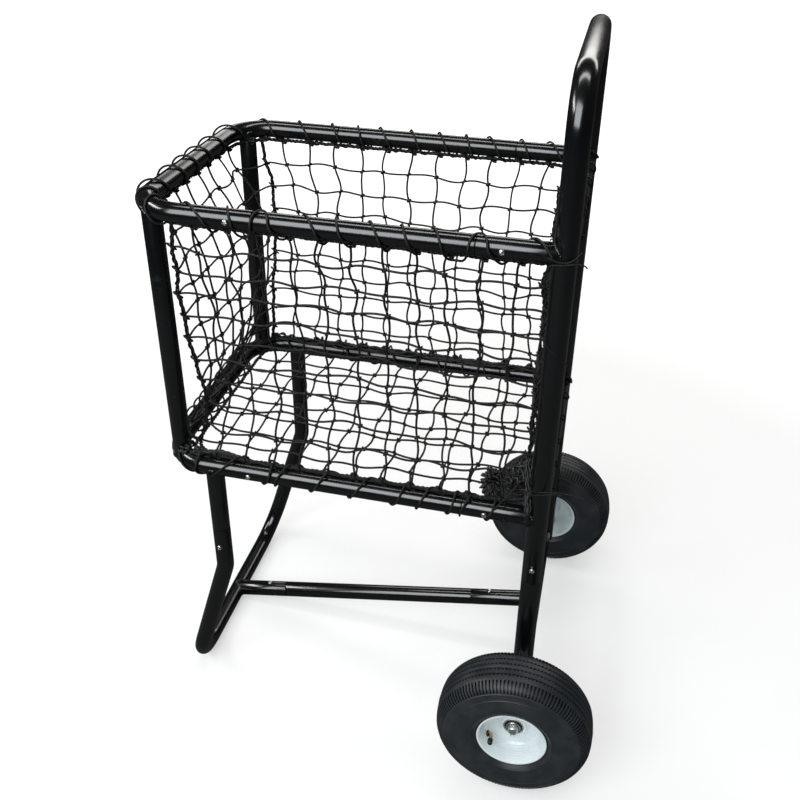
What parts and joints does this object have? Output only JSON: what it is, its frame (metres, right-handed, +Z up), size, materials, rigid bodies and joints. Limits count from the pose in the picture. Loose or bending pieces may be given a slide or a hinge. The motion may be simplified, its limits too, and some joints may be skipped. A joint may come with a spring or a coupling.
{
  "type": "ball cart",
  "caption": "Wheeled ball cart: a deep net basket in a bolted black tube frame with a push handle, two pneumatic wheels and a looped stand.",
  "frame": {"origin": "on the floor under the middle of the cart's box", "axes": "+X from the stand end to the handle and wheels, +Y from the near side to the far side, +Z up"},
  "size_m": [0.7714, 0.666, 1.1899],
  "materials": {
    "black_paint": "gloss black powder coat on steel tube",
    "white_paint": "white enamel on pressed steel",
    "black_twine": "black braided twine",
    "tyre_rubber": "moulded black tyre rubber",
    "tube_rubber": "black butyl rubber",
    "bright_steel": "bright zinc plate",
    "bearing_steel": "ground bearing steel",
    "cap_plastic": "black moulded plastic"
  },
  "bodies": {
    "frame": {"handle_frame": "black_paint", "handle_top_crossbar": "black_paint", "handle_bottom_crossbar": "black_paint", "rail_socket_top_near": "black_paint", "rail_socket_top_far": "black_paint", "rail_socket_bottom_near": "black_paint", "rail_socket_bottom_far": "black_paint", "end_hoop_top": "black_paint", "end_hoop_bottom": "black_paint", "end_post_near": "black_paint", "end_post_far": "black_paint", "side_rail_top_near": "black_paint", "side_rail_top_far": "black_paint", "side_rail_bottom_near": "black_paint", "side_rail_bottom_far": "black_paint", "stand_loop": "black_paint", "brace_tube": "black_paint", "wheel_leg_near": "black_paint", "wheel_leg_far": "black_paint", "axle_sleeve": "black_paint", "axle_rod": "bright_steel", "near_wheel_washer": "bright_steel", "near_wheel_split_pin": "bright_steel", "far_wheel_washer": "bright_steel", "far_wheel_split_pin": "bright_steel", "screw_front_top_near": "bright_steel", "screw_rear_top_near": "bright_steel", "screw_front_bottom_near": "bright_steel", "screw_rear_bottom_near": "bright_steel", "screw_front_top_far": "bright_steel", "screw_rear_top_far": "bright_steel", "screw_front_bottom_far": "bright_steel", "screw_rear_bottom_far": "bright_steel", "screw_handle_near": "bright_steel", "screw_handle_far": "bright_steel", "screw_stand_near": "bright_steel", "screw_stand_far": "bright_steel", "screw_brace_front": "bright_steel", "screw_brace_rear": "bright_steel", "net_panel_near": "black_twine", "net_panel_far": "black_twine", "net_panel_front": "black_twine", "net_panel_rear": "black_twine", "net_panel_floor": "black_twine", "net_lacing_top": "black_twine", "net_lacing_bottom": "black_twine", "surplus_net_bundle": "black_twine"},
    "near_wheel": {"near_wheel_tyre": "tyre_rubber", "near_wheel_inner_tube": "tube_rubber", "near_wheel_rim": "white_paint", "near_wheel_bearing_outer": "bearing_steel", "near_wheel_bearing_inner": "bearing_steel", "near_wheel_valve_cap": "cap_plastic"},
    "far_wheel": {"far_wheel_tyre": "tyre_rubber", "far_wheel_inner_tube": "tube_rubber", "far_wheel_rim": "white_paint", "far_wheel_bearing_outer": "bearing_steel", "far_wheel_bearing_inner": "bearing_steel", "far_wheel_valve_cap": "cap_plastic"}
  },
  "joints": [
    {"name": "near_wheel_spin", "type": "hinge", "parent": "frame", "child": "near_wheel", "pos_m": [0.25701, -0.288, 0.13], "axis": [0, 1, 0], "continuous": true},
    {"name": "far_wheel_spin", "type": "hinge", "parent": "frame", "child": "far_wheel", "pos_m": [0.25701, 0.288, 0.13], "axis": [0, 1, 0], "continuous": true}
  ]
}
